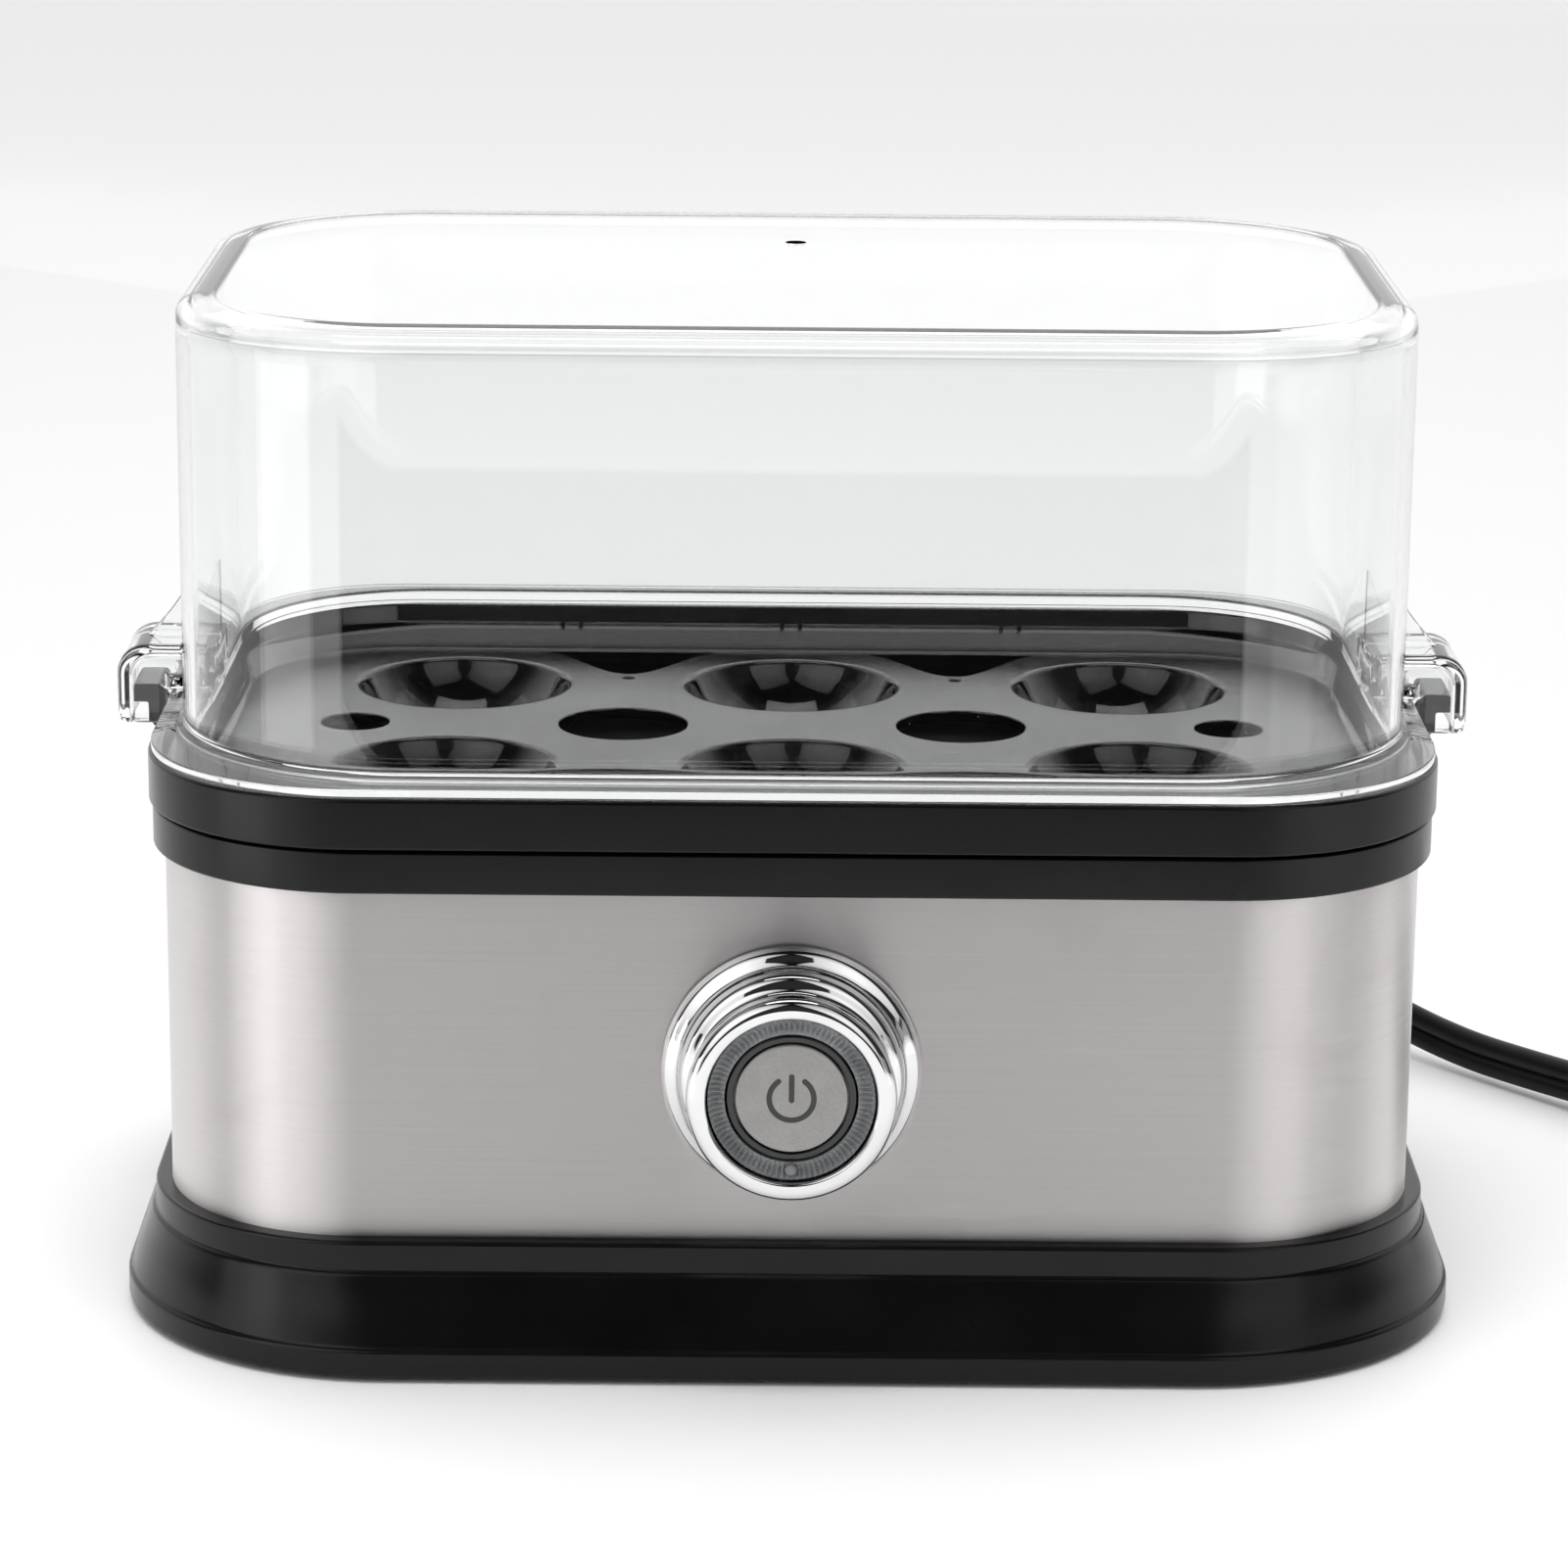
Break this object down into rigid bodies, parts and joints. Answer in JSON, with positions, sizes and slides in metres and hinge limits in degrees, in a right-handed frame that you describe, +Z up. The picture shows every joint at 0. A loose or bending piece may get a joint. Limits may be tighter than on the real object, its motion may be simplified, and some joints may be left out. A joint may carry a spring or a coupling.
{
  "type": "egg cooker",
  "caption": "Rectangular electric egg cooker with a clear lift-off lid, a black egg tray, a brushed steel band and a push button on the front.",
  "frame": {"origin": "on the table, under the middle of the cooker without its lead", "axes": "+X to the right along the long side, +Y to the back, +Z up; the button faces -Y"},
  "size_m": [0.3782, 0.2277, 0.175],
  "materials": {
    "satin_black": "satin moulded",
    "gloss_black": "high gloss",
    "brushed_steel": "brushed along its length",
    "chrome": "polished",
    "clear_plastic": "clear, polished",
    "frosted_plastic": "translucent, ribbed",
    "rubber": "matte",
    "cord_black": "satin sheath",
    "silver_face": "silver, satin",
    "aluminium": "drawn, satin",
    "element_sheath": "dark sheathed rod",
    "ceramic": "unglazed",
    "silicone": "matte",
    "brass": "plated",
    "red_lead": "insulated wire",
    "white_plastic": "moulded"
  },
  "bodies": {
    "housing": {"base_skirt": "satin_black", "bezel_nut": "satin_black", "bottom_cover": "satin_black", "bottom_screw_1": "brushed_steel", "bottom_screw_2": "brushed_steel", "bottom_screw_3": "brushed_steel", "bottom_screw_4": "brushed_steel", "cord": "cord_black", "cord_coil": "cord_black", "cord_tail": "cord_black", "cord_tie": "rubber", "dish_gasket": "silicone", "foot_1": "rubber", "foot_2": "rubber", "foot_3": "rubber", "foot_4": "rubber", "heating_element": "element_sheath", "indicator_lamp": "frosted_plastic", "inner_frame": "satin_black", "knob_bezel": "chrome", "lead_heater": "cord_black", "lead_live": "red_lead", "lead_neutral": "white_plastic", "light_ring": "frosted_plastic", "plug_blade_1": "brass", "plug_blade_2": "brass", "plug_body": "cord_black", "steel_band": "brushed_steel", "strain_relief": "satin_black", "switch_body": "satin_black", "terminal_block": "white_plastic", "thermal_fuse": "aluminium", "thermostat": "ceramic", "top_collar": "satin_black", "water_dish": "aluminium"},
    "egg_tray": {"egg_tray": "gloss_black"},
    "lid": {"lid": "clear_plastic"},
    "power_button": {"power_button": "gloss_black", "button_face": "silver_face", "switch_plunger": "white_plastic"}
  },
  "joints": [
    {"name": "tray_lift", "type": "slide", "parent": "housing", "child": "egg_tray", "axis": [0, 0, 1], "range_m": [0, 0.12]},
    {"name": "lid_lift", "type": "slide", "parent": "egg_tray", "child": "lid", "axis": [0, 0, 1], "range_m": [0, 0.12]},
    {"name": "button_press", "type": "slide", "parent": "housing", "child": "power_button", "axis": [0, 1, 0], "range_m": [0, 0.0025], "stiffness_N_per_m": 400}
  ]
}
